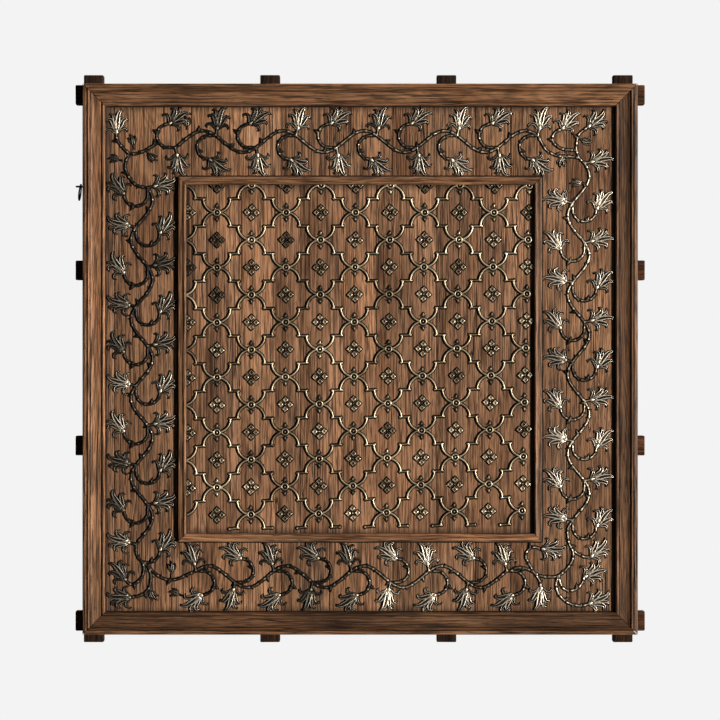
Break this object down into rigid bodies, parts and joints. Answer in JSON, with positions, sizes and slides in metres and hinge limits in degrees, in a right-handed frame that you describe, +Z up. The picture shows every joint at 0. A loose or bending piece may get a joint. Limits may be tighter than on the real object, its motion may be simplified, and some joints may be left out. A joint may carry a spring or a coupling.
{
  "type": "boarded wooden wall panel with applied metal lattice and vine scroll",
  "caption": "Square boarded wooden panel in a moulded frame, with a metal vine scroll round a lattice field, on a grid of battens.",
  "frame": {"origin": "middle of the top batten's back face, where the panel is fixed to a wall", "axes": "+Z up, +X to the right seen from the front, +Y out of the back into the wall, so the decorated front looks along -Y"},
  "size_m": [1.647, 0.0846, 1.641],
  "materials": {
    "frame_wood": "old, dark and waxed",
    "board_wood": "old, worn and waxed",
    "batten_wood": "rough and nearly black",
    "tarnished_metal": "tarnished, rubbed bright on the ridges",
    "iron": "black forged"
  },
  "bodies": {
    "root": {"frame_top": "frame_wood", "frame_right": "frame_wood", "frame_bottom": "frame_wood", "frame_left": "frame_wood", "centre_moulding_top": "frame_wood", "centre_moulding_right": "frame_wood", "centre_moulding_bottom": "frame_wood", "centre_moulding_left": "frame_wood", "board_1": "board_wood", "board_2": "board_wood", "board_3": "board_wood", "board_4": "board_wood", "board_5": "board_wood", "board_6": "board_wood", "board_7": "board_wood", "board_8": "board_wood", "board_9": "board_wood", "inner_board_1": "board_wood", "inner_board_2": "board_wood", "inner_board_3": "board_wood", "inner_board_4": "board_wood", "inner_board_5": "board_wood", "inner_board_6": "board_wood", "inner_board_7": "board_wood", "inner_board_8": "board_wood", "inner_board_9": "board_wood", "batten_upright_1": "batten_wood", "batten_upright_2": "batten_wood", "batten_upright_3": "batten_wood", "batten_upright_4": "batten_wood", "batten_level_1": "batten_wood", "batten_level_2": "batten_wood", "batten_level_3": "batten_wood", "batten_level_4": "batten_wood", "lattice": "tarnished_metal", "vine_scroll": "tarnished_metal", "iron_pin": "iron", "iron_ring": "iron"}
  },
  "joints": []
}
